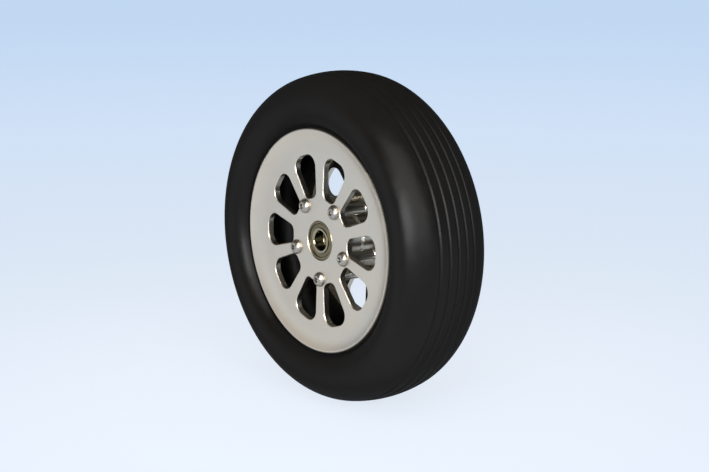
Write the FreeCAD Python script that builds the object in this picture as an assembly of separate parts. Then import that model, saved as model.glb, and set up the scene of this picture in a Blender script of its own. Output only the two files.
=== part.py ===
import FreeCAD, Part
import math
import os

# A small aircraft wheel. Two turned aluminium rim halves are clamped face to face by five
# screws and grip the beads of a hollow rubber tyre. A shielded ball bearing sits in each
# half, and a sleeve keeps the two inner rings apart on the axle.
#
# The axle lies along Y, the origin is the wheel's centre and the screw heads face -Y.
# Every piece is drawn on its outboard +Y side, and a front piece is then turned round Z.

# Rim halves, in millimetres
LIP_RADIUS = 46.0
LIP_HALF_WIDTH = 16.8
LIP_ROUNDING = 0.8
DISH_ANGLE = 29.0
WEB_FACE = 14.5
WEB_THICKNESS = 2.6
FLANGE_THICKNESS = 2.3
BEAD_SEAT_RADIUS = 40.4
FLANGE_ROOT = 12.5
SPIGOT_WALL = 2.4
SPIGOT_END = 9.9

# Windows and the spokes between them
WINDOW_COUNT = 10
WINDOW_INNER_RADIUS = 17.7
WINDOW_OUTER_RADIUS = 35.2
WINDOW_INNER_ROUNDING = 3.1
WINDOW_OUTER_ROUNDING = 4.6
SPOKE_INNER_WIDTH = 4.5
SPOKE_OUTER_WIDTH = 6.2
EDGE_BREAK = 0.3

# Hub and its screw posts
HUB_RADIUS = 10.0
HUB_CHAMFER = 0.9
POST_RADIUS = 2.3
POST_CIRCLE_RADIUS = 16.1
POST_COUNT = 5
FIRST_POST_ANGLE = 54.0
HUB_BORE_RADIUS = 6.9
REGISTER_RADIUS = 8.3
REGISTER_HEIGHT = 1.2
REGISTER_CLEARANCE = 0.05

# Screws
SCREW_RADIUS = 1.48
SCREW_LENGTH = 25.0
CLEARANCE_HOLE_RADIUS = 1.65
TAPPED_HOLE_RADIUS = 1.5
HEAD_RADIUS = 3.05
HEAD_HEIGHT = 2.05
HEAD_RIM_HEIGHT = 0.4
HEAD_FLAT_RADIUS = 1.35
HEAD_DOME = 0.12
SOCKET_ACROSS_FLATS = 2.0
SOCKET_DEPTH = 1.2

# Bearings, 8 x 16 x 5
BEARING_BORE_RADIUS = 4.0
BEARING_RADIUS = 8.0
BEARING_WIDTH = 5.0
BEARING_RECESS = 0.2
BEARING_CHAMFER = 0.3
SEAT_CLEARANCE = 0.02
PITCH_RADIUS = 6.0
BALL_RADIUS = 1.0
BALL_COUNT = 9
FIRST_BALL_ANGLE = 90.0
RACEWAY_RADIUS = 1.04
OUTER_LAND_RADIUS = 6.8
INNER_LAND_RADIUS = 5.1
CAGE_INNER_RADIUS = 5.45
CAGE_OUTER_RADIUS = 6.55
CAGE_CLOSED_SIDE = 1.35
CAGE_OPEN_SIDE = 0.5
POCKET_RADIUS = 1.06
SHIELD_SEAT_RADIUS = 7.3
SHIELD_SEAT_OFFSET = 1.5
SHIELD_THICKNESS = 0.25
SHIELD_RAISED_OFFSET = 2.15
SHIELD_INNER_RADIUS = 5.3
SNAP_GROOVE_RADIUS = 7.5
SNAP_GROOVE_NEAR = 1.8
SNAP_GROOVE_FAR = 2.15
SNAP_RING_INNER_RADIUS = 7.0
SNAP_RING_GAP_ANGLE = 24.0
FIT_GAP = 0.03

# Spacer sleeve between the inner rings
SLEEVE_RADIUS = 5.0
SLEEVE_CHAMFER = 0.2

# Tyre: three tangent arcs from the crown to the lip, and a wall of even thickness
TYRE_RADIUS = 67.85
CROWN_ARC_RADIUS = 45.0
CROWN_END_ANGLE = 12.5
SHOULDER_ARC_RADIUS = 17.2
SHOULDER_END_ANGLE = 52.0
SIDEWALL_ARC_RADIUS = 8.5
SIDEWALL_END_ANGLE = 163.5
TYRE_WALL = 6.0
CAVITY_END_ANGLE = 150.0
BEAD_INNER_FACE = 8.4
BEAD_HEEL_RADIUS = 44.5
LIP_GAP = 0.3

# Grooves round the tread
GROOVE_COUNT = 5
GROOVE_PITCH = 4.3
GROOVE_DEPTH = 0.9
GROOVE_TOP_WIDTH = 2.0
GROOVE_BOTTOM_WIDTH = 0.7

AXIS_POINT = FreeCAD.Vector(0, 0, 0)
AXLE = FreeCAD.Vector(0, 1, 0)
UP = FreeCAD.Vector(0, 0, 1)
PICK_TOLERANCE = 0.01
BEARING_CENTRE = WEB_FACE - BEARING_RECESS - BEARING_WIDTH / 2
BEARING_INNER_END = BEARING_CENTRE - BEARING_WIDTH / 2
WEB_BACK = WEB_FACE - WEB_THICKNESS


def at(radius, depth):
    return FreeCAD.Vector(radius, depth, 0)


def polar(radius, degrees, depth=0.0):
    angle = math.radians(degrees)
    return FreeCAD.Vector(radius * math.cos(angle), depth, radius * math.sin(angle))


def line(start, end):
    return Part.LineSegment(start, end).toShape()


def arc(start, middle, end):
    return Part.Arc(start, middle, end).toShape()


def lines(points):
    return [line(a, b) for a, b in zip(points, points[1:])]


def revolved(edges, degrees=360.0):
    section = Part.Face(Part.Wire(Part.__sortEdges__(edges)))
    return section.revolve(AXIS_POINT, AXLE, degrees)


def turned(points):
    return revolved(lines(points + points[:1]))


def cylinder(radius, start, end):
    return Part.makeCylinder(radius, end - start, at(0, start), AXLE)


def to_front(shape):
    turned_round = shape.copy()
    turned_round.rotate(AXIS_POINT, UP, 180)
    return turned_round


def post_angles():
    return [FIRST_POST_ANGLE + index * 360.0 / POST_COUNT for index in range(POST_COUNT)]


def arc_point(centre, radius, degrees):
    # The angle is that of the surface's normal, from straight outward towards the side.
    angle = math.radians(degrees)
    return centre + at(radius * math.cos(angle), radius * math.sin(angle))


# ---------------------------------------------------------------- rim halves

def rim_section():
    # Web, dished flange with a rounded lip, and the spigot that carries the bead.
    slope = math.radians(DISH_ANGLE)
    lip_centre = at(LIP_RADIUS - LIP_ROUNDING, LIP_HALF_WIDTH - LIP_ROUNDING)
    lip_outer = arc_point(lip_centre, LIP_ROUNDING, 0)
    lip_middle = arc_point(lip_centre, LIP_ROUNDING, 60)
    lip_inner = arc_point(lip_centre, LIP_ROUNDING, 90 + DISH_ANGLE)
    dish_radius = (lip_inner.y - WEB_FACE) / (1 - math.cos(slope))
    dish_centre = at(lip_inner.x - dish_radius * math.sin(slope), WEB_FACE + dish_radius)
    dish_start = at(dish_centre.x, WEB_FACE)
    dish_middle = arc_point(dish_centre, -dish_radius, 90 + DISH_ANGLE / 2)
    flange_back_outer = at(LIP_RADIUS, lip_outer.y - FLANGE_THICKNESS + LIP_ROUNDING)
    flange_back_inner = at(BEAD_SEAT_RADIUS, FLANGE_ROOT)
    spigot_inner_radius = BEAD_SEAT_RADIUS - SPIGOT_WALL
    body = lines([
        lip_outer,
        flange_back_outer,
        flange_back_inner,
        at(BEAD_SEAT_RADIUS, SPIGOT_END),
        at(spigot_inner_radius, SPIGOT_END),
        at(spigot_inner_radius, WEB_BACK),
        at(HUB_BORE_RADIUS, WEB_BACK),
        at(HUB_BORE_RADIUS, WEB_FACE),
        dish_start,
    ])
    dish = arc(dish_start, dish_middle, lip_inner)
    lip = arc(lip_inner, lip_middle, lip_outer)
    return body + [dish, lip]


def window_cutter():
    # One window lies on the +X line between two spokes, which widen a little outward.
    half_pitch = 180.0 / WINDOW_COUNT

    def corner_angle(radius, spoke_width):
        return half_pitch - math.degrees(math.asin(spoke_width / 2 / radius))

    inner_angle = corner_angle(WINDOW_INNER_RADIUS, SPOKE_INNER_WIDTH)
    outer_angle = corner_angle(WINDOW_OUTER_RADIUS, SPOKE_OUTER_WIDTH)
    inner_low = polar(WINDOW_INNER_RADIUS, -inner_angle, WEB_BACK)
    inner_high = polar(WINDOW_INNER_RADIUS, inner_angle, WEB_BACK)
    outer_low = polar(WINDOW_OUTER_RADIUS, -outer_angle, WEB_BACK)
    outer_high = polar(WINDOW_OUTER_RADIUS, outer_angle, WEB_BACK)
    outline = [
        arc(inner_low, polar(WINDOW_INNER_RADIUS, 0, WEB_BACK), inner_high),
        line(inner_high, outer_high),
        arc(outer_high, polar(WINDOW_OUTER_RADIUS, 0, WEB_BACK), outer_low),
        line(outer_low, inner_low),
    ]
    face = Part.Face(Part.Wire(outline))
    prism = face.extrude(AXLE * WEB_THICKNESS)
    corners = [edge for edge in prism.Edges if abs(edge.BoundBox.YLength - WEB_THICKNESS) < PICK_TOLERANCE]
    inner_corners = [edge for edge in corners if distance_from_axis(edge) < WINDOW_INNER_RADIUS + 1]
    outer_corners = [edge for edge in corners if distance_from_axis(edge) > WINDOW_OUTER_RADIUS - 1]
    rounded = prism.makeFillet(WINDOW_INNER_ROUNDING, inner_corners)
    rounded = rounded.makeFillet(WINDOW_OUTER_ROUNDING, matching_edges(rounded, outer_corners))
    return rounded


def distance_from_axis(edge):
    centre = edge.CenterOfMass
    return math.hypot(centre.x, centre.z)


def matching_edges(shape, wanted):
    centres = [edge.CenterOfMass for edge in wanted]
    return [
        edge for edge in shape.Edges
        if any((edge.CenterOfMass - centre).Length < PICK_TOLERANCE for centre in centres)
    ]


def flat_edges(shape, depth, inner_radius, outer_radius):
    # Edges that lie in the plane at this depth, between the two radii.
    return [
        edge for edge in shape.Edges
        if abs(edge.BoundBox.YMin - depth) < PICK_TOLERANCE
        and abs(edge.BoundBox.YMax - depth) < PICK_TOLERANCE
        and inner_radius < distance_from_axis(edge) < outer_radius
    ]


def hub_block():
    # A turned hub and five slender posts that meet the other half's at the mid-plane.
    hub = cylinder(HUB_RADIUS, 0, WEB_BACK)
    hub = hub.makeChamfer(HUB_CHAMFER, flat_edges_round(hub, 0, HUB_RADIUS))
    posts = []
    for angle in post_angles():
        post = Part.makeCylinder(POST_RADIUS, WEB_BACK, polar(POST_CIRCLE_RADIUS, angle), AXLE)
        posts.append(post.makeChamfer(EDGE_BREAK, flat_edges(post, 0, 0, TYRE_RADIUS)))
    return Part.makeCompound([hub] + posts)


def rim_blank():
    blank = revolved(rim_section()).fuse(hub_block().Solids).removeSplitter()
    window = window_cutter()
    windows = []
    for index in range(WINDOW_COUNT):
        cutter = window.copy()
        cutter.rotate(AXIS_POINT, AXLE, index * 360.0 / WINDOW_COUNT)
        windows.append(cutter)
    blank = blank.cut(windows)
    rims = flat_edges(blank, WEB_FACE, WINDOW_INNER_RADIUS - 2, WINDOW_OUTER_RADIUS + 0.5)
    return blank.makeChamfer(EDGE_BREAK, rims)


def bearing_seat():
    radius = BEARING_RADIUS + SEAT_CLEARANCE
    mouth = radius + 2 * EDGE_BREAK
    return turned([
        at(0, BEARING_INNER_END),
        at(radius, BEARING_INNER_END),
        at(radius, WEB_FACE - EDGE_BREAK),
        at(mouth, WEB_FACE + EDGE_BREAK),
        at(0, WEB_FACE + EDGE_BREAK),
    ])


def screw_holes(radius):
    depth = WEB_FACE + REGISTER_HEIGHT
    return [Part.makeCylinder(radius, depth, polar(POST_CIRCLE_RADIUS, angle), AXLE) for angle in post_angles()]


def rim_half(hole_radius):
    bored = rim_blank().cut(cylinder(HUB_BORE_RADIUS, -REGISTER_HEIGHT, WEB_FACE))
    return bored.cut([bearing_seat()] + screw_holes(hole_radius))


def rim_with_register():
    # The front half carries a low ring that enters the rear half and centres it.
    ring = cylinder(REGISTER_RADIUS, -REGISTER_HEIGHT, EDGE_BREAK)
    ring = ring.cut(cylinder(HUB_BORE_RADIUS, -REGISTER_HEIGHT, EDGE_BREAK))
    ring = ring.makeChamfer(EDGE_BREAK, flat_edges_round(ring, -REGISTER_HEIGHT, REGISTER_RADIUS))
    return rim_half(CLEARANCE_HOLE_RADIUS).fuse(ring).removeSplitter()


def flat_edges_round(shape, depth, radius):
    # Whole circles of this radius in the plane at this depth.
    return [
        edge for edge in shape.Edges
        if abs(edge.BoundBox.YMin - depth) < PICK_TOLERANCE
        and abs(edge.BoundBox.YMax - depth) < PICK_TOLERANCE
        and abs(edge.BoundBox.XMax - radius) < PICK_TOLERANCE
    ]


def rim_with_recess():
    recess_radius = REGISTER_RADIUS + REGISTER_CLEARANCE
    recess = cylinder(recess_radius, 0, REGISTER_HEIGHT + REGISTER_CLEARANCE)
    return rim_half(TAPPED_HOLE_RADIUS).cut(recess)


# ---------------------------------------------------------------- tyre

def tyre_half_outline():
    # Outer surface from the crown to the lip, the bead, then the cavity back to the middle.
    crown_centre = at(TYRE_RADIUS - CROWN_ARC_RADIUS, 0)
    shoulder_centre = arc_point(crown_centre, CROWN_ARC_RADIUS - SHOULDER_ARC_RADIUS, CROWN_END_ANGLE)
    sidewall_centre = arc_point(shoulder_centre, SHOULDER_ARC_RADIUS - SIDEWALL_ARC_RADIUS, SHOULDER_END_ANGLE)
    bends = [
        (crown_centre, CROWN_ARC_RADIUS, 0, CROWN_END_ANGLE),
        (shoulder_centre, SHOULDER_ARC_RADIUS, CROWN_END_ANGLE, SHOULDER_END_ANGLE),
        (sidewall_centre, SIDEWALL_ARC_RADIUS, SHOULDER_END_ANGLE, SIDEWALL_END_ANGLE),
    ]
    outer = [arc_between(centre, radius, start, end) for centre, radius, start, end in bends]
    cavity = [
        arc_between(centre, radius - TYRE_WALL, start, min(end, CAVITY_END_ANGLE))
        for centre, radius, start, end in bends
    ]
    flange_inner = at(BEAD_SEAT_RADIUS, FLANGE_ROOT)
    flange_outer = at(LIP_RADIUS, LIP_HALF_WIDTH - FLANGE_THICKNESS)
    along_flange = (flange_outer - flange_inner).normalize()
    bead_toe = flange_outer + along_flange * LIP_GAP
    sidewall_end = arc_point(sidewall_centre, SIDEWALL_ARC_RADIUS, SIDEWALL_END_ANGLE)
    cavity_end = arc_point(sidewall_centre, SIDEWALL_ARC_RADIUS - TYRE_WALL, CAVITY_END_ANGLE)
    bead = lines([
        sidewall_end,
        bead_toe,
        flange_inner,
        at(BEAD_SEAT_RADIUS, BEAD_INNER_FACE),
        at(BEAD_HEEL_RADIUS, BEAD_INNER_FACE),
        cavity_end,
    ])
    return outer + bead + cavity


def arc_between(centre, radius, start, end):
    middle = (start + end) / 2
    return arc(
        arc_point(centre, radius, start),
        arc_point(centre, radius, middle),
        arc_point(centre, radius, end),
    )


def tread_radius(offset):
    centre = TYRE_RADIUS - CROWN_ARC_RADIUS
    return centre + math.sqrt(CROWN_ARC_RADIUS ** 2 - offset ** 2)


def tread_groove(offset):
    top = tread_radius(offset) + GROOVE_DEPTH
    bottom = tread_radius(offset) - GROOVE_DEPTH
    half_bottom = GROOVE_BOTTOM_WIDTH / 2
    half_top = GROOVE_TOP_WIDTH - half_bottom
    return turned([
        at(bottom, offset - half_bottom),
        at(bottom, offset + half_bottom),
        at(top, offset + half_top),
        at(top, offset - half_top),
    ])


def tyre():
    half = tyre_half_outline()
    other = [edge.mirror(AXIS_POINT, AXLE) for edge in half]
    carcass = revolved(half + other)
    first = -(GROOVE_COUNT - 1) / 2 * GROOVE_PITCH
    grooves = [tread_groove(first + index * GROOVE_PITCH) for index in range(GROOVE_COUNT)]
    return carcass.cut(grooves)


# ---------------------------------------------------------------- screws

def screw(angle):
    top = WEB_FACE + HEAD_HEIGHT
    shoulder = at(HEAD_RADIUS, WEB_FACE + HEAD_RIM_HEIGHT)
    crown = at(HEAD_FLAT_RADIUS, top)
    chord = crown - shoulder
    dome = at(chord.y, -chord.x) * HEAD_DOME
    tip = WEB_FACE - SCREW_LENGTH
    tip_chamfer = SCREW_RADIUS / 4
    section = lines([
        crown,
        at(0, top),
        at(0, tip),
        at(SCREW_RADIUS - tip_chamfer, tip),
        at(SCREW_RADIUS, tip + tip_chamfer),
        at(SCREW_RADIUS, WEB_FACE),
        at(HEAD_RADIUS, WEB_FACE),
        shoulder,
    ])
    section.append(arc(shoulder, (shoulder + crown) * 0.5 + dome, crown))
    body = revolved(section)
    across_corners = SOCKET_ACROSS_FLATS / math.sqrt(3)
    corners = [polar(across_corners, 60 * index, top - SOCKET_DEPTH) for index in range(7)]
    socket = Part.Face(Part.makePolygon(corners)).extrude(AXLE * HEAD_HEIGHT)
    body = body.cut(socket)
    body.translate(polar(POST_CIRCLE_RADIUS, angle))
    return body


# ---------------------------------------------------------------- bearings

def raceway(land_radius, outward):
    # The groove's arc, from one edge of the land to the other, as a ball would roll in it.
    half_width = math.sqrt(RACEWAY_RADIUS ** 2 - (land_radius - PITCH_RADIUS) ** 2)
    bottom = PITCH_RADIUS + outward * RACEWAY_RADIUS
    ends = [at(land_radius, half_width), at(land_radius, -half_width)]
    return arc(ends[0], at(bottom, 0), ends[1]), half_width


def mirrored(points):
    return [at(point.x, -point.y) for point in reversed(points)]


def outer_ring():
    half_width = BEARING_WIDTH / 2
    groove, groove_half = raceway(OUTER_LAND_RADIUS, 1)
    upper = [
        at(OUTER_LAND_RADIUS, groove_half),
        at(OUTER_LAND_RADIUS, SHIELD_SEAT_OFFSET),
        at(SHIELD_SEAT_RADIUS, SHIELD_SEAT_OFFSET),
        at(SHIELD_SEAT_RADIUS, SNAP_GROOVE_NEAR),
        at(SNAP_GROOVE_RADIUS, SNAP_GROOVE_NEAR),
        at(SNAP_GROOVE_RADIUS, SNAP_GROOVE_FAR),
        at(SHIELD_SEAT_RADIUS, SNAP_GROOVE_FAR),
        at(SHIELD_SEAT_RADIUS, half_width),
        at(BEARING_RADIUS - BEARING_CHAMFER, half_width),
        at(BEARING_RADIUS, half_width - BEARING_CHAMFER),
    ]
    return revolved(lines(upper + mirrored(upper)) + [groove])


def inner_ring():
    half_width = BEARING_WIDTH / 2
    groove, groove_half = raceway(INNER_LAND_RADIUS, -1)
    upper = [
        at(INNER_LAND_RADIUS, groove_half),
        at(INNER_LAND_RADIUS, half_width),
        at(BEARING_BORE_RADIUS + BEARING_CHAMFER, half_width),
        at(BEARING_BORE_RADIUS, half_width - BEARING_CHAMFER),
    ]
    return revolved(lines(upper + mirrored(upper)) + [groove])


def ball_centre(index):
    return polar(PITCH_RADIUS, FIRST_BALL_ANGLE + index * 360.0 / BALL_COUNT)


def ball(index):
    return Part.makeSphere(BALL_RADIUS, ball_centre(index))


def cage():
    # A crown: its pockets open on one side, by less than a ball's width, so the balls snap in.
    ring = cylinder(CAGE_OUTER_RADIUS, -CAGE_CLOSED_SIDE, CAGE_OPEN_SIDE)
    ring = ring.cut(cylinder(CAGE_INNER_RADIUS, -CAGE_CLOSED_SIDE, CAGE_OPEN_SIDE))
    ring.rotate(AXIS_POINT, AXLE, -FIRST_BALL_ANGLE - 180.0 / BALL_COUNT)
    pockets = []
    for index in range(BALL_COUNT):
        outward = ball_centre(index).normalize()
        pockets.append(Part.makeCylinder(POCKET_RADIUS, BEARING_RADIUS, AXIS_POINT, outward))
    return ring.cut(pockets)


def shield():
    # A stamped disc: its rim lies in the ring's seat, and its middle stands out to the face.
    rim_radius = SHIELD_SEAT_RADIUS - FIT_GAP
    step = (rim_radius + OUTER_LAND_RADIUS) / 2
    low = SHIELD_SEAT_OFFSET
    high = SHIELD_RAISED_OFFSET - SHIELD_THICKNESS
    return turned([
        at(rim_radius, low),
        at(rim_radius, low + SHIELD_THICKNESS),
        at(step, low + SHIELD_THICKNESS),
        at(step - SHIELD_THICKNESS, high + SHIELD_THICKNESS),
        at(SHIELD_INNER_RADIUS, high + SHIELD_THICKNESS),
        at(SHIELD_INNER_RADIUS, high),
        at(step - 2 * SHIELD_THICKNESS, high),
        at(step - SHIELD_THICKNESS, low),
    ])


def snap_ring():
    low = SNAP_GROOVE_NEAR
    high = SNAP_GROOVE_FAR - FIT_GAP
    outer = SNAP_GROOVE_RADIUS - FIT_GAP
    corners = [
        at(SNAP_RING_INNER_RADIUS, low),
        at(outer, low),
        at(outer, high),
        at(SNAP_RING_INNER_RADIUS, high),
        at(SNAP_RING_INNER_RADIUS, low),
    ]
    ring = revolved(lines(corners), 360.0 - SNAP_RING_GAP_ANGLE)
    ring.rotate(AXIS_POINT, AXLE, SNAP_RING_GAP_ANGLE / 2 - 90.0)
    return ring


def inboard(shape):
    # The same piece on the bearing's other side.
    flipped = shape.copy()
    flipped.rotate(AXIS_POINT, UP, 180)
    return flipped


def bearing_pieces():
    pieces = {
        "outer_ring": outer_ring(),
        "inner_ring": inner_ring(),
        "cage": cage(),
        "outboard_shield": shield(),
        "inboard_shield": inboard(shield()),
        "outboard_snap_ring": snap_ring(),
        "inboard_snap_ring": inboard(snap_ring()),
    }
    for index in range(BALL_COUNT):
        pieces["ball_%d" % (index + 1)] = ball(index)
    for piece in pieces.values():
        piece.translate(at(0, BEARING_CENTRE))
    return pieces


def spacer_sleeve():
    sleeve = cylinder(SLEEVE_RADIUS, -BEARING_INNER_END, BEARING_INNER_END)
    sleeve = sleeve.cut(cylinder(BEARING_BORE_RADIUS, -BEARING_INNER_END, BEARING_INNER_END))
    outer_edges = []
    for end in (-BEARING_INNER_END, BEARING_INNER_END):
        outer_edges += flat_edges_round(sleeve, end, SLEEVE_RADIUS)
    return sleeve.makeChamfer(SLEEVE_CHAMFER, outer_edges)


# ---------------------------------------------------------------- the wheel

def wheel():
    pieces = {
        "rim_front": to_front(rim_with_register()),
        "rim_rear": rim_with_recess(),
        "tyre": tyre(),
        "spacer_sleeve": spacer_sleeve(),
    }
    for index, angle in enumerate(post_angles()):
        pieces["screw_%d" % (index + 1)] = to_front(screw(angle))
    for name, piece in bearing_pieces().items():
        pieces["rear_" + name] = piece
        pieces["front_" + name] = to_front(piece)
    return pieces


os.makedirs("parts", exist_ok=True)
for node, solid in wheel().items():
    solid.exportStep("parts/%s.step" % node)
    print(node, solid.ShapeType, len(solid.Solids), solid.isValid(), round(solid.Volume, 2))
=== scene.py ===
import bmesh
import bpy
import math
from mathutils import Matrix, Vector


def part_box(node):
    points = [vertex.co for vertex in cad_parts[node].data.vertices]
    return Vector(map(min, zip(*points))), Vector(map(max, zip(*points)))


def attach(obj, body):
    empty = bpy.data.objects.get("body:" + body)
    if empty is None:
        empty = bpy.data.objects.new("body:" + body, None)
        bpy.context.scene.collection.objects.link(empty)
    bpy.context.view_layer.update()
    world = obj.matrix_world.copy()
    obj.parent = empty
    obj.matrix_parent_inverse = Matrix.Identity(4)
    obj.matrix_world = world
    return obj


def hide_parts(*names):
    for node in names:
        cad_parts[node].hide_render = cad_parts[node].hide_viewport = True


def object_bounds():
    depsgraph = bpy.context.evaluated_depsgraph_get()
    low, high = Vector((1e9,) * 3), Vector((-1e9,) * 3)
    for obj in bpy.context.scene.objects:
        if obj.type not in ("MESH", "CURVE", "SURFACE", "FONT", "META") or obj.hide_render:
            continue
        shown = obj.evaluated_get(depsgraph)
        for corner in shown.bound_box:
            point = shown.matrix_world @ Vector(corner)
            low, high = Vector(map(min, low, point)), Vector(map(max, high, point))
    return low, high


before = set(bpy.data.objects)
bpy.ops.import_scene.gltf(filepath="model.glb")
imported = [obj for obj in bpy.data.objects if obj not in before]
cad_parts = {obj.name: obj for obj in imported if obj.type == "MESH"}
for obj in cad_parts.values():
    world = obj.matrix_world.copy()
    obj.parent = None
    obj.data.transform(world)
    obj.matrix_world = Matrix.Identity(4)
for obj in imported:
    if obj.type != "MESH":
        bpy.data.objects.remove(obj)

cad_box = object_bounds()

# ---------------------------------------------------------------- rim halves
# Two wheel discs turned from 6061 aluminium bar, with milled windows. Blasting with fine grit
# leaves their outer faces an even, slightly warm grey over the faint rings of the lathe tool.
# Inside they stay as cut, smoother and greyer, with a darker tone that is partly painted shade.
# The lips are painted dark grey towards the edge: painted shade where they meet the tyre.

MM = 0.001     # one millimetre, in metres


def linear(hex_colour):
    """An sRGB hex colour as the linear RGBA that shaders take."""
    channels = [int(hex_colour[i:i + 2], 16) / 255 for i in (0, 2, 4)]
    light = [c / 12.92 if c <= 0.04045 else ((c + 0.055) / 1.055) ** 2.4 for c in channels]
    return (*light, 1.0)


def add(tree, kind, inputs=None, **settings):
    """Adds one node. An input takes a value, or the output socket that feeds it."""
    node = tree.nodes.new(kind)
    for name, value in settings.items():
        setattr(node, name, value)
    for name, value in (inputs or {}).items():
        if isinstance(value, bpy.types.NodeSocket):
            tree.links.new(value, node.inputs[name])
        else:
            node.inputs[name].default_value = value
    return node


def new_material(name):
    """An empty material, with its node tree and the object's own coordinates in metres."""
    material = bpy.data.materials.new(name)
    material.use_nodes = True
    tree = material.node_tree
    tree.nodes.clear()
    place = add(tree, "ShaderNodeTexCoord").outputs["Object"]
    return material, tree, place


def grain(millimetres):
    """Noise scale whose grains are this far apart."""
    return 1.0 / (millimetres * MM)


def rings(millimetres):
    """Wave scale whose rings are this far apart: a wave repeats every pi / 10 / scale."""
    return math.pi / 10 / (millimetres * MM)


def satin_aluminium():
    material, tree, place = new_material("aluminium_turned_satin")
    tool_pitch = 0.55      # the real feed is near 0.1 mm: drawn coarser, so that it shows
    blast_grit = 0.35      # the real grit is near 0.1 mm: drawn coarser, so that it shows
    cloud_size = 14.0      # tone and polish drift a little over this distance
    face_depth = 14.35     # what lies further than this from the mid-plane is blasted
    lip_inner = 45.1       # the painted shade on the lip starts at this radius
    lip_outer = 45.8       # and is full at this one

    depths = add(tree, "ShaderNodeSeparateXYZ", {"Vector": place})
    depth = add(tree, "ShaderNodeMath", {0: depths.outputs["Y"]}, operation="ABSOLUTE")
    blasted = add(tree, "ShaderNodeMath", {
        0: depth.outputs[0], 1: face_depth * MM}, operation="GREATER_THAN")
    across = add(tree, "ShaderNodeVectorMath", {
        0: place, 1: (1.0, 0.0, 1.0)}, operation="MULTIPLY")
    radius = add(tree, "ShaderNodeVectorMath", {0: across.outputs["Vector"]}, operation="LENGTH")
    dull_shaded_lip = add(tree, "ShaderNodeMapRange", {
        "Value": radius.outputs["Value"], "From Min": lip_inner * MM, "From Max": lip_outer * MM})
    feed = add(tree, "ShaderNodeTexWave", {
        "Vector": place, "Scale": rings(tool_pitch), "Distortion": 0.6, "Detail": 2.0,
        "Detail Scale": 0.4}, wave_type="RINGS", rings_direction="Y")
    grit = add(tree, "ShaderNodeTexNoise", {
        "Vector": place, "Scale": grain(blast_grit), "Detail": 3.0, "Roughness": 0.6})
    cloud = add(tree, "ShaderNodeTexNoise", {
        "Vector": place, "Scale": grain(cloud_size), "Detail": 4.0, "Roughness": 0.55})

    # Cut faces inside take a darker, greyer tone than blasted ones: partly their finish, partly painted
    # shade.
    milled_tone_and_shade = add(tree, "ShaderNodeMix", {
        "Factor": cloud.outputs["Fac"], "A": linear("b0aa9d"), "B": linear("c2bcb0")},
        data_type="RGBA")
    blasted_tone = add(tree, "ShaderNodeMix", {
        "Factor": cloud.outputs["Fac"], "A": linear("cec2b1"), "B": linear("d6cbba")},
        data_type="RGBA")
    clean_tone = add(tree, "ShaderNodeMix", {
        "Factor": blasted.outputs[0], "A": milled_tone_and_shade.outputs["Result"],
        "B": blasted_tone.outputs["Result"]}, data_type="RGBA")
    # The lip is painted dark grey towards its edge: painted shade where it meets the tyre.
    tone = add(tree, "ShaderNodeMix", {
        "Factor": dull_shaded_lip.outputs["Result"], "A": clean_tone.outputs["Result"],
        "B": linear("5a5650")}, data_type="RGBA")

    milled_polish = add(tree, "ShaderNodeMapRange", {
        "Value": cloud.outputs["Fac"], "To Min": 0.24, "To Max": 0.34})
    blasted_polish = add(tree, "ShaderNodeMapRange", {
        "Value": cloud.outputs["Fac"], "To Min": 0.34, "To Max": 0.44})
    clean_polish = add(tree, "ShaderNodeMix", {
        "Factor": blasted.outputs[0], "A": milled_polish.outputs["Result"],
        "B": blasted_polish.outputs["Result"]})
    polish = add(tree, "ShaderNodeMix", {
        "Factor": dull_shaded_lip.outputs["Result"], "A": clean_polish.outputs["Result"], "B": 0.6})

    feed_relief = add(tree, "ShaderNodeBump", {
        "Height": feed.outputs["Fac"], "Strength": 0.05, "Distance": 0.05 * MM})
    relief = add(tree, "ShaderNodeBump", {
        "Height": grit.outputs["Fac"], "Normal": feed_relief.outputs["Normal"],
        "Strength": 0.12, "Distance": 0.08 * MM})
    surface = add(tree, "ShaderNodeBsdfPrincipled", {
        "Base Color": tone.outputs["Result"], "Metallic": 1.0,
        "Roughness": polish.outputs["Result"], "Normal": relief.outputs["Normal"]})
    add(tree, "ShaderNodeOutputMaterial", {"Surface": surface.outputs["BSDF"]})
    return material


def dress(node_names, material):
    """Gives CAD nodes their finish."""
    for name in node_names:
        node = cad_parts[name]
        for slot in node.material_slots:
            slot.material = material
        if not node.material_slots:
            node.data.materials.append(material)


dress(["rim_front", "rim_rear"], satin_aluminium())

# ---------------------------------------------------------------- bearings
# Two shielded 8 x 16 x 5 ball bearings, one pushed into each rim half. The ground rings and
# lapped balls are chrome steel, with snap rings of like finish, and the shields and cages are
# pressed from sheet steel. A film of oil gives them a faint straw colour.


def ringed_metal(name, dark, light, rough, mark_pitch):
    """A metal finished round its own axis, so that its marks are rings."""
    material, tree, place = new_material(name)
    film_size = 2.5        # patches of oil and of slightly duller metal
    marks = add(tree, "ShaderNodeTexWave", {
        "Vector": place, "Scale": rings(mark_pitch), "Distortion": 1.5, "Detail": 3.0,
        "Detail Scale": 0.5}, wave_type="RINGS", rings_direction="Y")
    film = add(tree, "ShaderNodeTexNoise", {
        "Vector": place, "Scale": grain(film_size), "Detail": 4.0, "Roughness": 0.6})
    tone = add(tree, "ShaderNodeMix", {
        "Factor": film.outputs["Fac"], "A": linear(dark), "B": linear(light)},
        data_type="RGBA")
    polish = add(tree, "ShaderNodeMapRange", {
        "Value": film.outputs["Fac"], "From Min": 0.3, "From Max": 0.7,
        "To Min": rough[0], "To Max": rough[1]})
    relief = add(tree, "ShaderNodeBump", {
        "Height": marks.outputs["Fac"], "Strength": 0.08, "Distance": 0.03 * MM})
    surface = add(tree, "ShaderNodeBsdfPrincipled", {
        "Base Color": tone.outputs["Result"], "Metallic": 1.0,
        "Roughness": polish.outputs["Result"], "Normal": relief.outputs["Normal"]})
    add(tree, "ShaderNodeOutputMaterial", {"Surface": surface.outputs["BSDF"]})
    return material


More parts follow.
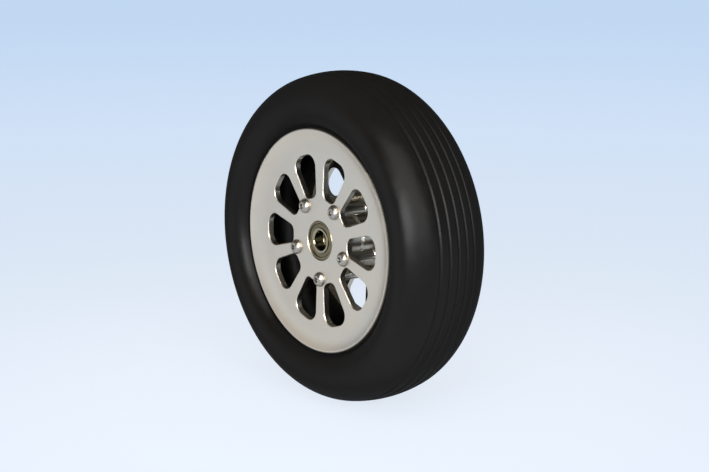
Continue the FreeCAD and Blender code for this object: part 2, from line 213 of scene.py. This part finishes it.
# The real marks are a few hundredths of a millimetre apart: drawn coarser, so that they show.
ring_steel = ringed_metal("chrome_steel_ground", "756a50", "9a8d70", rough=(0.16, 0.28), mark_pitch=0.3)
race_steel = ringed_metal("chrome_steel_honed", "958b72", "b0a68c", rough=(0.06, 0.12), mark_pitch=0.3)
shield_steel = ringed_metal("sheet_steel_stamped", "675c44", "877b60", rough=(0.2, 0.34), mark_pitch=0.4)
cage_steel = ringed_metal("sheet_steel_pressed", "a29c90", "bdb7aa", rough=(0.3, 0.42), mark_pitch=0.5)

balls = range(1, 10)
for half in ("front", "rear"):
    dress([half + "_outer_ring"], ring_steel)
    dress([half + "_inner_ring"], race_steel)
    dress([half + "_cage"], cage_steel)
    dress([half + "_ball_%d" % number for number in balls], ring_steel)
    for face in ("outboard", "inboard"):
        dress([half + "_" + face + "_shield"], shield_steel)
        dress([half + "_" + face + "_snap_ring"], ring_steel)

# ---------------------------------------------------------------- spacer sleeve
# A short aluminium tube, turned and parted off, that keeps the two inner rings apart.
# It is plain metal, nearly as bright as a mirror, with fine tool rings.

tool_rings = 0.25      # the real ones are near 0.05 mm apart: drawn coarser, so that they show
dress(["spacer_sleeve"], ringed_metal(
    "aluminium_turned_bright", "e2e0db", "eeece7", rough=(0.06, 0.12), mark_pitch=tool_rings))

# ---------------------------------------------------------------- tyre
# A hollow tyre of natural rubber filled with carbon black, moulded in one piece with five
# shallow grooves. Its beads are gripped behind the flanges of the two rim halves. The skin is
# satin, dulled a little by handling, and looks chalky where it is seen at a slant.


def arc(centre, radius, start, end, steps):
    """Points of (radius, depth) on an arc; angles are those of the outward normal, in degrees."""
    points = []
    for step in range(steps + 1):
        angle = math.radians(start + (end - start) * step / steps)
        points.append((centre[0] + radius * math.cos(angle), centre[1] + radius * math.sin(angle)))
    return points


def tyre_outline():
    """The closed section as points of (radius, depth) in millimetres."""
    low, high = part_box("tyre")
    inset = 0.002          # keeps the finished skin just inside the solid tyre
    outer_radius = min(-low.x, high.x, -low.z, high.z) / MM - inset
    wall = 6.0

    # Three arcs make each half of the outside. Each ends where its normal reaches an angle,
    # and the crown's is a hair under the solid's 12.5 degrees, to stay within its width.
    crown_radius, crown_end = 45.0, 12.495
    shoulder_radius, shoulder_end = 17.2, 52.0
    side_radius, side_end = 8.5, 163.5
    chamber_end = 150.0    # the chamber's wall leaves the side's arc here

    tread_half, tread_steps = 10.2, 90
    groove_pitch, grooves_each_side, groove_depth = 4.3, 2, 0.5
    groove_half_top, groove_half_bottom = 0.85, 0.15
    flange_root = (40.4, 12.5)     # the rim's corner where its bead seat meets the flange
    flange_lip = (46.0, 14.5)      # the flange's outer corner
    toe_reach = 0.3                # how far the bead's toe runs on past that corner
    bead_face, bead_heel = 8.4, 44.5

    def offset(centre, length, angle):
        """The point at this length from a centre, towards an angle."""
        turn = math.radians(angle)
        return centre[0] + length * math.cos(turn), centre[1] + length * math.sin(turn)

    def groove(depth):
        """How far the tread is cut away: a smooth slope between a groove's top and bottom."""
        nearest = round(depth / groove_pitch) * groove_pitch
        if abs(nearest) > (grooves_each_side + 0.5) * groove_pitch:
            return 0.0
        share = (groove_half_top - abs(depth - nearest)) / (groove_half_top - groove_half_bottom)
        share = min(max(share, 0.0), 1.0)
        return groove_depth * share * share * (3 - 2 * share)

    # From the tread's middle out to the lip.
    crown = (outer_radius - crown_radius, 0.0)
    shoulder = offset(crown, crown_radius - shoulder_radius, crown_end)
    side = offset(shoulder, shoulder_radius - side_radius, shoulder_end)
    half = []
    for step in range(tread_steps + 1):
        depth = tread_half * step / tread_steps
        if depth <= crown_radius * math.sin(math.radians(crown_end)):
            top = crown[0] + math.sqrt(crown_radius ** 2 - depth ** 2)
        else:
            top = shoulder[0] + math.sqrt(shoulder_radius ** 2 - (depth - shoulder[1]) ** 2)
        half.append((top - groove(depth), depth))
    tread_end = math.degrees(math.asin((tread_half - shoulder[1]) / shoulder_radius))
    half += arc(shoulder, shoulder_radius, tread_end, shoulder_end, steps=14)[1:]
    half += arc(side, side_radius, shoulder_end, side_end, steps=26)[1:]

    # The bead, from its toe down the flange's back to its seat and heel.
    rise = (flange_lip[0] - flange_root[0], flange_lip[1] - flange_root[1])
    length = math.hypot(*rise)
    toe = (flange_lip[0] + rise[0] / length * toe_reach, flange_lip[1] + rise[1] / length * toe_reach)
    half += [toe, flange_root, (flange_root[0], bead_face), (bead_heel, bead_face)]

    # Back inside, a wall's thickness under the same arcs, to the tyre's middle.
    half += arc(side, side_radius - wall, chamber_end, shoulder_end, steps=8)
    half += arc(shoulder, shoulder_radius - wall, shoulder_end, crown_end, steps=8)[1:]
    half += arc(crown, crown_radius - wall, crown_end, 0, steps=6)[1:]
    other_half = [(radius, -depth) for radius, depth in half[-2:0:-1]]
    return half + other_half


def piece(name, shape, material):
    """Makes an object of a finished mesh: smooth-shaded, apart from edges that turn sharply."""
    sharp_turn = math.radians(32)
    mesh = bpy.data.meshes.new(name)
    shape.to_mesh(mesh)
    shape.free()
    for face in mesh.polygons:
        face.use_smooth = True
    mesh.set_sharp_from_angle(angle=sharp_turn)
    mesh.materials.append(material)
    obj = bpy.data.objects.new(name, mesh)
    bpy.context.scene.collection.objects.link(obj)
    return obj


def lathe(name, outline, segments, material):
    """Turns a closed outline of (radius, depth), in millimetres, once round the axle."""
    shape = bmesh.new()
    loops = []
    for segment in range(segments):
        angle = 2 * math.pi * segment / segments
        across, up = math.cos(angle), math.sin(angle)
        loops.append([
            shape.verts.new((radius * across * MM, depth * MM, radius * up * MM))
            for radius, depth in outline])
    count = len(outline)
    for segment in range(segments):
        near, far = loops[segment], loops[(segment + 1) % segments]
        for here in range(count):
            after = (here + 1) % count
            shape.faces.new((near[here], near[after], far[after], far[here]))
    bmesh.ops.recalc_face_normals(shape, faces=shape.faces)
    return piece(name, shape, material)


def moulded_rubber():
    material, tree, place = new_material("rubber_moulded_black")
    skin_grain = 0.6       # the mould's own grain is near 0.1 mm: drawn coarser, so that it shows
    handling_size = 18.0   # fingers and packing leave patches of this size
    waviness = 9.0         # the skin shrinks a little unevenly as it cures
    gloss = 0.13           # soot and wax in the skin leave little of rubber's usual 0.5
    skin = add(tree, "ShaderNodeTexNoise", {
        "Vector": place, "Scale": grain(skin_grain), "Detail": 4.0, "Roughness": 0.65})
    handling = add(tree, "ShaderNodeTexNoise", {
        "Vector": place, "Scale": grain(handling_size), "Detail": 5.0, "Roughness": 0.6})
    waves = add(tree, "ShaderNodeTexNoise", {
        "Vector": place, "Scale": grain(waviness), "Detail": 2.0, "Roughness": 0.5})
    tone = add(tree, "ShaderNodeMix", {
        "Factor": handling.outputs["Fac"], "A": linear("0c0a09"), "B": linear("13110f")},
        data_type="RGBA")
    satin = add(tree, "ShaderNodeMapRange", {
        "Value": handling.outputs["Fac"], "From Min": 0.3, "From Max": 0.7,
        "To Min": 0.3, "To Max": 0.38})
    slant = add(tree, "ShaderNodeLayerWeight", {"Blend": 0.5})
    chalky = add(tree, "ShaderNodeMapRange", {
        "Value": slant.outputs["Facing"], "From Min": 0.12, "From Max": 0.5, "To Max": 0.6})
    dullness = add(tree, "ShaderNodeMath", {
        0: satin.outputs["Result"], 1: chalky.outputs["Result"]}, operation="ADD")
    skin_relief = add(tree, "ShaderNodeBump", {
        "Height": skin.outputs["Fac"], "Strength": 0.2, "Distance": 0.08 * MM})
    relief = add(tree, "ShaderNodeBump", {
        "Height": waves.outputs["Fac"], "Normal": skin_relief.outputs["Normal"],
        "Strength": 0.35, "Distance": 0.6 * MM})
    surface = add(tree, "ShaderNodeBsdfPrincipled", {
        "Base Color": tone.outputs["Result"], "Roughness": dullness.outputs[0],
        "Specular IOR Level": gloss, "Normal": relief.outputs["Normal"]})
    add(tree, "ShaderNodeOutputMaterial", {"Surface": surface.outputs["BSDF"]})
    return material


tyre = lathe("tyre_moulded", tyre_outline(), 288, moulded_rubber())
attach(tyre, "wheel")
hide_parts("tyre")

# ---------------------------------------------------------------- screws
# Five M3 x 25 button head screws of A2 stainless steel, cold headed, with rolled threads.
# They pass through the front half's posts and clamp it to the rear half's tapped posts.


def stainless_steel():
    material, tree, place = new_material("stainless_steel_cold_headed")
    drawing_marks = 0.5    # the real ones are under 0.1 mm: drawn coarser, so that they show
    die_dents = 1.6        # the heading die leaves the dome slightly uneven
    marks = add(tree, "ShaderNodeTexNoise", {
        "Vector": place, "Scale": grain(drawing_marks), "Detail": 3.0, "Roughness": 0.6})
    dents = add(tree, "ShaderNodeTexNoise", {
        "Vector": place, "Scale": grain(die_dents), "Detail": 2.0, "Roughness": 0.5})
    tone = add(tree, "ShaderNodeMix", {
        "Factor": marks.outputs["Fac"], "A": linear("88827a"), "B": linear("c2bcb0")},
        data_type="RGBA")
    polish = add(tree, "ShaderNodeMapRange", {
        "Value": marks.outputs["Fac"], "From Min": 0.3, "From Max": 0.7,
        "To Min": 0.2, "To Max": 0.34})
    marks_relief = add(tree, "ShaderNodeBump", {
        "Height": marks.outputs["Fac"], "Strength": 0.1, "Distance": 0.05 * MM})
    relief = add(tree, "ShaderNodeBump", {
        "Height": dents.outputs["Fac"], "Normal": marks_relief.outputs["Normal"],
        "Strength": 0.6, "Distance": 0.4 * MM})
    surface = add(tree, "ShaderNodeBsdfPrincipled", {
        "Base Color": tone.outputs["Result"], "Metallic": 1.0,
        "Roughness": polish.outputs["Result"], "Normal": relief.outputs["Normal"]})
    add(tree, "ShaderNodeOutputMaterial", {"Surface": surface.outputs["BSDF"]})
    return material


def threaded_screw(name, centre_x, centre_z, head_top, tip, material):
    """One screw along the axle, its head towards -Y. Depths are measured from its head's top."""
    sides = 36
    head_height, head_radius, head_rim, flat_radius = 2.05, 3.05, 0.4, 1.35
    edge = 0.08            # the small bevel round the head's and the socket's edges
    dome_start, dome_end, dome_steps = math.radians(14), math.radians(62), 8
    socket_half_flats, socket_depth, socket_cone, cone_tip = 1.0, 1.2, 0.25, 0.02
    thread_pitch, thread_outer, thread_inner, steps_a_turn = 0.5, 1.48, 1.2, 8
    flank_steepness, crest_width = 1.3, 0.15
    fade_at_head, fade_at_tip, plain_tip = 1.5, 0.6, 0.2
    thread_stop = 0.4      # the last winding ends this far from the tip
    chamfer_start, chamfer_top, chamfer_end = 0.35, 1.46, 1.1
    length = (tip - head_top) / MM - head_height

    def level(depth, radius):
        """One loop of points at a depth. The radius is a number, or a function of the angle."""
        loop = []
        for step in range(sides):
            angle = 2 * math.pi * step / sides
            reach = radius(angle) if callable(radius) else radius
            loop.append(shape.verts.new((
                centre_x + reach * math.cos(angle) * MM,
                head_top + depth * MM,
                centre_z + reach * math.sin(angle) * MM)))
        return loop

    def hexagon(angle):
        """The socket's reach at an angle."""
        within = math.fmod(angle + math.pi / 6, math.pi / 3) - math.pi / 6
        return socket_half_flats / math.cos(within)

    def thread(depth):
        """The thread's radius at a depth: it winds on with the angle, and fades at both ends."""
        def radius(angle):
            turn = (depth / thread_pitch + angle / (2 * math.pi)) % 1.0
            cut = min(max(abs(2 * turn - 1) * flank_steepness - crest_width, 0.0), 1.0)
            from_head = (depth - head_height) / fade_at_head
            from_tip = (head_height + length - plain_tip - depth) / fade_at_tip
            fade = max(min(1.0, from_head, from_tip), 0.0)
            return thread_outer - (thread_outer - thread_inner) * cut * fade
        return radius

    # Socket, flat, dome, the head's underside, thread and tip, one loop after another.
    shape = bmesh.new()
    loops = [level(socket_depth + socket_cone, cone_tip), level(socket_depth, hexagon)]
    loops.append(level(edge, hexagon))
    loops.append(level(0.0, lambda angle: hexagon(angle) + edge))
    loops.append(level(0.0, flat_radius))
    for step in range(1, dome_steps + 1):
        turn = dome_start + (dome_end - dome_start) * step / dome_steps
        share = (math.sin(turn) - math.sin(dome_start)) / (math.sin(dome_end) - math.sin(dome_start))
        drop = (math.cos(dome_start) - math.cos(turn)) / (math.cos(dome_start) - math.cos(dome_end))
        radius = flat_radius + (head_radius - flat_radius) * share
        loops.append(level((head_height - head_rim) * drop, radius))
    loops.append(level(head_height - edge, head_radius))
    loops.append(level(head_height, head_radius - edge))
    loops.append(level(head_height, thread_outer))
    thread_steps = int(length / thread_pitch * steps_a_turn)
    for step in range(1, thread_steps):
        depth = head_height + (length - thread_stop) * step / thread_steps
        loops.append(level(depth, thread(depth)))
    loops.append(level(head_height + length - chamfer_start, chamfer_top))
    loops.append(level(head_height + length, chamfer_end))
    for near, far in zip(loops, loops[1:]):
        for here in range(sides):
            after = (here + 1) % sides
            shape.faces.new((near[here], near[after], far[after], far[here]))
    shape.faces.new(loops[0])
    shape.faces.new(loops[-1])
    bmesh.ops.recalc_face_normals(shape, faces=shape.faces)
    return piece(name, shape, material)


screw_steel = stainless_steel()
for number in range(1, 6):
    low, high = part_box("screw_%d" % number)
    middle = (low + high) / 2
    screw = threaded_screw("threaded_screw_%d" % number, middle.x, middle.z, low.y, high.y, screw_steel)
    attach(screw, "wheel")
    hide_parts("screw_%d" % number)

# ---------------------------------------------------------------- studio
# A floor of matt, pale blue background paper that fades into the room behind, and four soft
# boxes. The camera and the metal see mostly the paper's own colour. Near the wheel they also
# see a share of it as the lamps light it, which holds the soft shadow under the tyre.

near_colour = linear("ecf4ff")
far_colour = linear("c0d7f2")


def seen_directly(tree):
    """1 for rays from the camera, and for those that mirror or pass through something."""
    path = add(tree, "ShaderNodeLightPath")
    either = add(tree, "ShaderNodeMath", {
        0: path.outputs["Is Camera Ray"], 1: path.outputs["Is Glossy Ray"]}, operation="MAXIMUM")
    any_of = add(tree, "ShaderNodeMath", {
        0: either.outputs[0], 1: path.outputs["Is Transmission Ray"]}, operation="MAXIMUM")
    return any_of.outputs[0]


def background_paper():
    material, tree, place = new_material("paper_matt_pale_blue")
    near_radius, fading_length = 0.1, 0.7  # metres: past this radius the near colour fades
    lit_share = 0.15                       # how much of what shows near the wheel is lamplight
    lit_radius, lit_end = 0.2, 0.8         # metres: that share fades out between these radii
    distance = add(tree, "ShaderNodeVectorMath", {0: place}, operation="LENGTH")
    paces = add(tree, "ShaderNodeMapRange", {
        "Value": distance.outputs["Value"], "From Min": near_radius,
        "From Max": near_radius + fading_length, "To Max": -1.0}, clamp=False)
    nearness = add(tree, "ShaderNodeMath", {
        0: paces.outputs["Result"]}, operation="EXPONENT", use_clamp=True)
    colour = add(tree, "ShaderNodeMix", {
        "Factor": nearness.outputs[0], "A": far_colour, "B": near_colour}, data_type="RGBA")
    own_colour = add(tree, "ShaderNodeMapRange", {
        "Value": distance.outputs["Value"], "From Min": lit_radius, "From Max": lit_end,
        "To Min": 1.0 - lit_share, "To Max": 1.0})
    share = add(tree, "ShaderNodeMath", {
        0: seen_directly(tree), 1: own_colour.outputs["Result"]}, operation="MULTIPLY")
    matt = add(tree, "ShaderNodeBsdfDiffuse", {"Color": colour.outputs["Result"]})
    glow = add(tree, "ShaderNodeEmission", {"Color": colour.outputs["Result"], "Strength": 1.0})
    surface = add(tree, "ShaderNodeMixShader", {
        0: share.outputs[0], 1: matt.outputs["BSDF"], 2: glow.outputs["Emission"]})
    add(tree, "ShaderNodeOutputMaterial", {"Surface": surface.outputs["Shader"]})
    return material


floor_radius = 12.0                    # metres: far enough out to look endless
floor_gap = 0.2 * MM                   # the tyre stands just clear of it
floor_shape = bmesh.new()
bmesh.ops.create_circle(floor_shape, cap_ends=True, radius=floor_radius, segments=96)
floor = piece("floor", floor_shape, background_paper())
floor.location.z = cad_box[0][2] - floor_gap

# The room is an even, faint light. What the camera sees of it is the paper's far colour, and
# metal mirrors that colour low down and a dim ceiling higher up.
ceiling_start, ceiling_full = 0.03, 0.22         # heights of the direction, as its sine
world = bpy.data.worlds.new("studio")
bpy.context.scene.world = world
world.use_nodes = True
sky = world.node_tree
sky.nodes.clear()
room = add(sky, "ShaderNodeBackground", {"Color": linear("f4f4f2"), "Strength": 0.25})
direction = add(sky, "ShaderNodeSeparateXYZ", {
    "Vector": add(sky, "ShaderNodeTexCoord").outputs["Generated"]})
height = add(sky, "ShaderNodeMapRange", {
    "Value": direction.outputs["Z"], "From Min": ceiling_start, "From Max": ceiling_full},
    interpolation_type="SMOOTHSTEP")
mirrored = add(sky, "ShaderNodeLightPath").outputs["Is Glossy Ray"]
dimness = add(sky, "ShaderNodeMath", {
    0: height.outputs["Result"], 1: mirrored}, operation="MULTIPLY")
shade = add(sky, "ShaderNodeMix", {
    "Factor": dimness.outputs[0], "A": far_colour, "B": linear("55534f")}, data_type="RGBA")
backdrop = add(sky, "ShaderNodeBackground", {"Color": shade.outputs["Result"], "Strength": 1.0})
choice = add(sky, "ShaderNodeMixShader", {
    0: seen_directly(sky), 1: room.outputs["Background"], 2: backdrop.outputs["Background"]})
add(sky, "ShaderNodeOutputWorld", {"Surface": choice.outputs["Shader"]})


def soft_box(name, place, width, height, watts):
    """A lamp behind a diffuser, facing the wheel's centre. Sizes and places are in metres."""
    lamp = bpy.data.lights.new(name, "AREA")
    lamp.shape = "RECTANGLE"
    lamp.size, lamp.size_y = width, height
    lamp.energy = watts
    obj = bpy.data.objects.new(name, lamp)
    obj.location = place
    obj.rotation_euler = (-Vector(place)).to_track_quat("-Z", "Y").to_euler()
    bpy.context.scene.collection.objects.link(obj)


# A small box near the screws, a large one to their right, a broad one that faces the rim,
# and one above for the tyre's shoulder.
soft_box("key_box", (0.27, -0.36, 0.1), width=0.16, height=0.2, watts=1.25)
soft_box("right_box", (1.0, -0.5, 0.34), width=1.1, height=0.6, watts=7.5)
soft_box("front_box", (-0.75, -0.95, 0.35), width=1.3, height=0.8, watts=2.0)
soft_box("shoulder_box", (0.45, -0.35, 0.6), width=0.65, height=0.5, watts=3.4)

# ---------------------------------------------------------------- camera
# A long lens a short arm's length away, looking down a little at the side with the screws.
# Its distance is taken from the middle of the front lip, and its aim centres the wheel.

camera = bpy.data.cameras.new("camera")
camera.lens = 80.9
camera.sensor_width = 36.0
azimuth = math.radians(52.54)
elevation = math.radians(12.0)
distance = 0.644       # metres
lip_middle = Vector((0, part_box("rim_front")[0].y, 0))
aim = Vector((0.0094, -0.0039, 0.0021))
viewer = bpy.data.objects.new("camera", camera)
viewer.location = lip_middle + distance * Vector((
    math.sin(azimuth) * math.cos(elevation),
    -math.cos(azimuth) * math.cos(elevation),
    math.sin(elevation)))
viewer.rotation_euler = (aim - viewer.location).to_track_quat("-Z", "Y").to_euler()
bpy.context.scene.collection.objects.link(viewer)
bpy.context.scene.camera = viewer
bpy.context.scene.view_settings.view_transform = "Standard"
